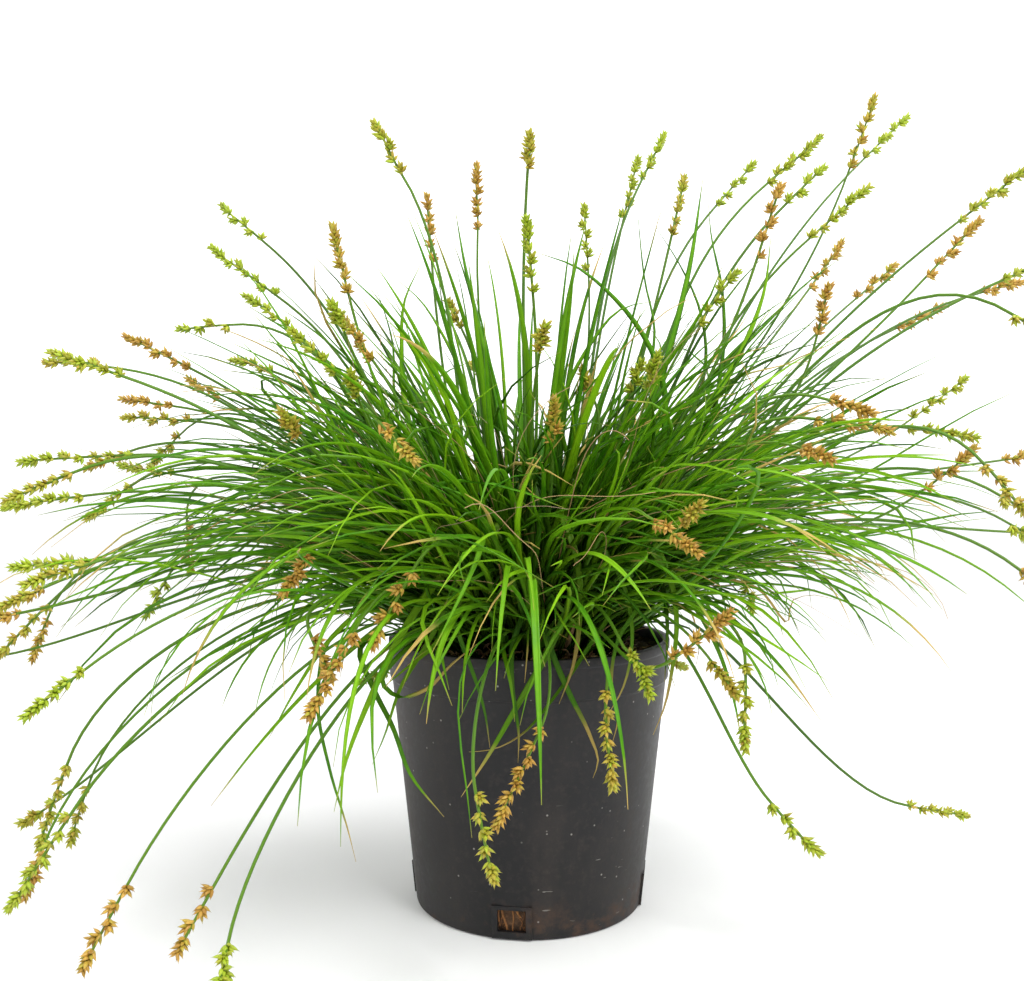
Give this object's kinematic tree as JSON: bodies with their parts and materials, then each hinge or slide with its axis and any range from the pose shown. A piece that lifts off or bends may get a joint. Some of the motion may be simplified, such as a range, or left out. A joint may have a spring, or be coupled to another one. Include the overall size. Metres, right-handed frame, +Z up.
{
  "type": "potted sedge",
  "caption": "Clump-forming sedge with arching leaves and flower stems, standing in a round tapered nursery pot filled with soil.",
  "frame": {"origin": "centre of the pot's underside, where it stands", "axes": "+Z up along the pot's axis; -Y is the front, +X is to the right of the front view"},
  "size_m": [0.7208, 0.5716, 0.5334],
  "materials": {
    "pot_plastic": "moulded charcoal plastic, satin, dusty",
    "soil": "dark brown peaty soil, crumbly and fibrous",
    "foliage": "living sedge leaves and stems, mid green, satin, with yellow-green and tan spikelets"
  },
  "bodies": {
    "root": {"pot": "pot_plastic", "soil": "soil", "tuft_01": "foliage", "tuft_02": "foliage", "tuft_03": "foliage", "tuft_04": "foliage", "tuft_05": "foliage", "tuft_06": "foliage", "tuft_07": "foliage", "tuft_08": "foliage", "tuft_09": "foliage", "tuft_10": "foliage"}
  },
  "joints": []
}
